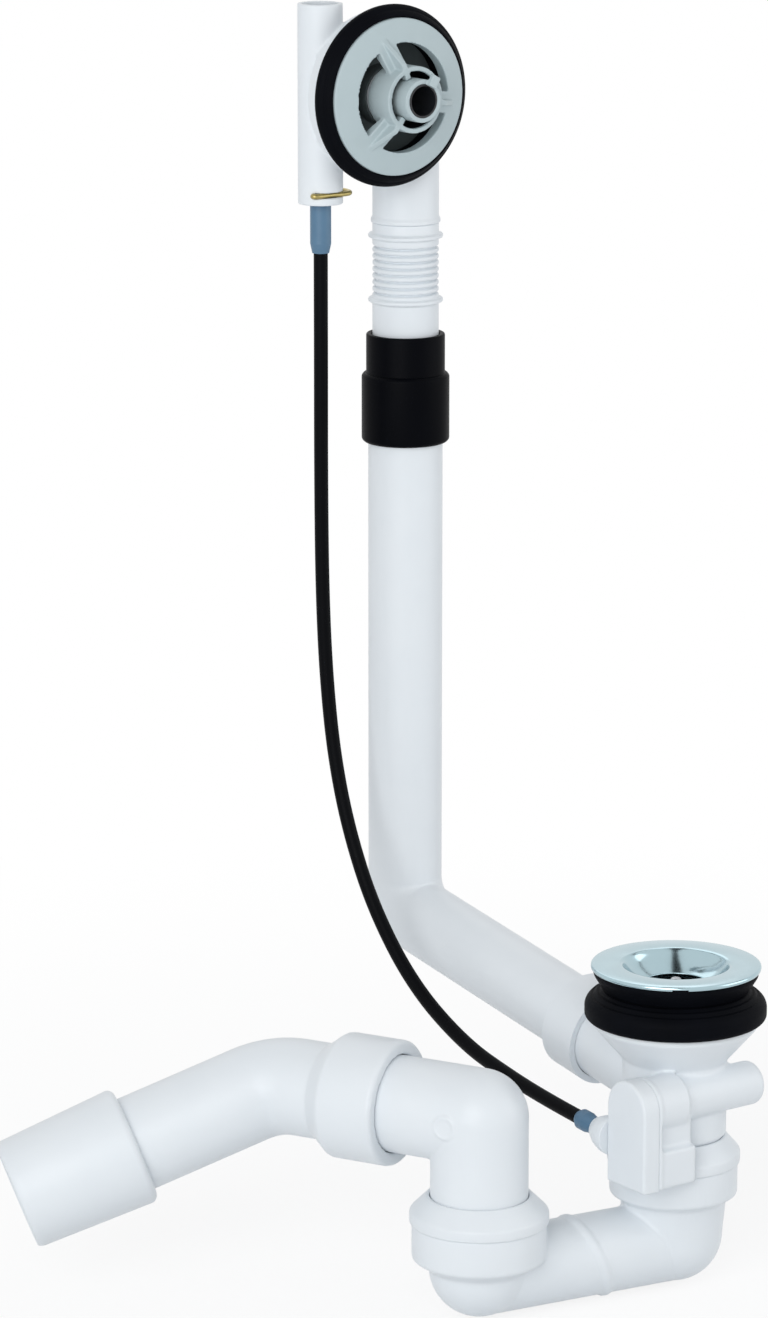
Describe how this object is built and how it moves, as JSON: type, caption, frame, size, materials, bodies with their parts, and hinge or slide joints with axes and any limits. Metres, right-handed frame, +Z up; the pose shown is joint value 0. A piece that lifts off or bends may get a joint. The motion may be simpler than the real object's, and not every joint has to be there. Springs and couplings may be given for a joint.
{
  "type": "bath waste and overflow",
  "caption": "Bath waste and overflow: chrome waste with lift stem, cable and rack drive worked from the overflow hub, corrugated riser joint, swivelling U-trap and angled outlet.",
  "frame": {"origin": "waste axis at the underside of the chrome flange, where it lands on the bath", "axes": "+Z up along the waste axis; the overflow stands at +Y and faces -Y into the bath; the trap's second leg is at -X"},
  "size_m": [0.2804, 0.2446, 0.5169],
  "materials": {
    "white_pp": "moulded polypropylene with a soft satin gloss",
    "white_acetal": "moulded acetal",
    "grey_abs": "moulded ABS, satin",
    "dark_plastic": "moulded, satin",
    "black_sleeve": "moulded, satin",
    "black_rubber": "moulded EPDM",
    "cable_sheath": "extruded PVC",
    "blue_grey_ferrule": "moulded nylon",
    "chrome": "polished chrome plate",
    "brass": "drawn",
    "steel": "drawn wire, turned stem and plated screws"
  },
  "bodies": {
    "base": {"waste_body": "white_pp", "lever_cover": "white_pp", "cable_gland": "white_pp", "overflow_pipe": "white_pp", "flexible_connector": "white_pp", "overflow_body": "white_pp", "gear_cover": "white_pp", "overflow_plate": "grey_abs", "stem_guide": "dark_plastic", "coupling_sleeve": "black_sleeve", "flange_seal": "black_rubber", "bath_gasket": "black_rubber", "overflow_gasket": "black_rubber", "shaft_seal": "black_rubber", "branch_seal": "black_rubber", "coupling_seal": "black_rubber", "bowden_cable": "cable_sheath", "upper_ferrule": "blue_grey_ferrule", "lower_ferrule": "blue_grey_ferrule", "waste_flange": "chrome", "retaining_clip": "brass", "cover_screws": "steel"},
    "hub": {"drive_hub": "grey_abs", "hub_liner": "dark_plastic", "hub_seal": "black_rubber", "gear_sector": "white_acetal"},
    "rack": {"rack": "white_acetal", "pull_wire": "steel"},
    "lever": {"rocker_shaft": "brass", "rocker_finger": "white_acetal", "crank_arm": "white_acetal", "crank_nipple": "brass"},
    "stem": {"lift_stem": "steel"},
    "trap": {"u_bend": "white_pp", "inlet_cap_ring": "white_pp", "inlet_lip_seal": "black_rubber", "outlet_cap_ring": "white_pp", "outlet_lip_seal": "black_rubber"},
    "elbow": {"outlet_elbow": "white_pp"},
    "tail": {"bend_45": "white_pp", "bend_seal": "black_rubber", "end_sleeve": "white_pp"}
  },
  "joints": [
    {"name": "hub_turn", "type": "hinge", "parent": "base", "child": "hub", "pos_m": [-0.0229, 0.1615, 0.3435], "axis": [0, 1, 0], "range_deg": [0, 45]},
    {"name": "rack_slide", "type": "slide", "parent": "base", "child": "rack", "axis": [0, 0, 1], "range_m": [0, 0.011]},
    {"name": "lever_turn", "type": "hinge", "parent": "base", "child": "lever", "pos_m": [0, -0.018, -0.049], "axis": [1, 0, 0], "range_deg": [0, 39.4]},
    {"name": "stem_lift", "type": "slide", "parent": "base", "child": "stem", "axis": [0, 0, 1], "range_m": [0, 0.01213]},
    {"name": "trap_swivel", "type": "hinge", "parent": "base", "child": "trap", "pos_m": [0, 0, -0.08], "axis": [0, 0, 1], "range_deg": [-15, 60]},
    {"name": "outlet_swivel", "type": "hinge", "parent": "trap", "child": "elbow", "pos_m": [-0.09113, 0.01264, -0.08], "axis": [0, 0, 1], "range_deg": [-20, 120]},
    {"name": "tail_turn", "type": "hinge", "parent": "elbow", "child": "tail", "pos_m": [-0.09113, 0.01264, -0.05], "axis": [-0.4305, 0.9026, 0], "range_deg": [-30, 40]}
  ],
  "couplings": [
    {"joint": "rack_slide", "follows": "hub_turn", "m_per_rad": 0.014},
    {"joint": "lever_turn", "follows": "hub_turn", "ratio": 0.875},
    {"joint": "stem_lift", "follows": "hub_turn", "m_per_rad": 0.015442}
  ]
}
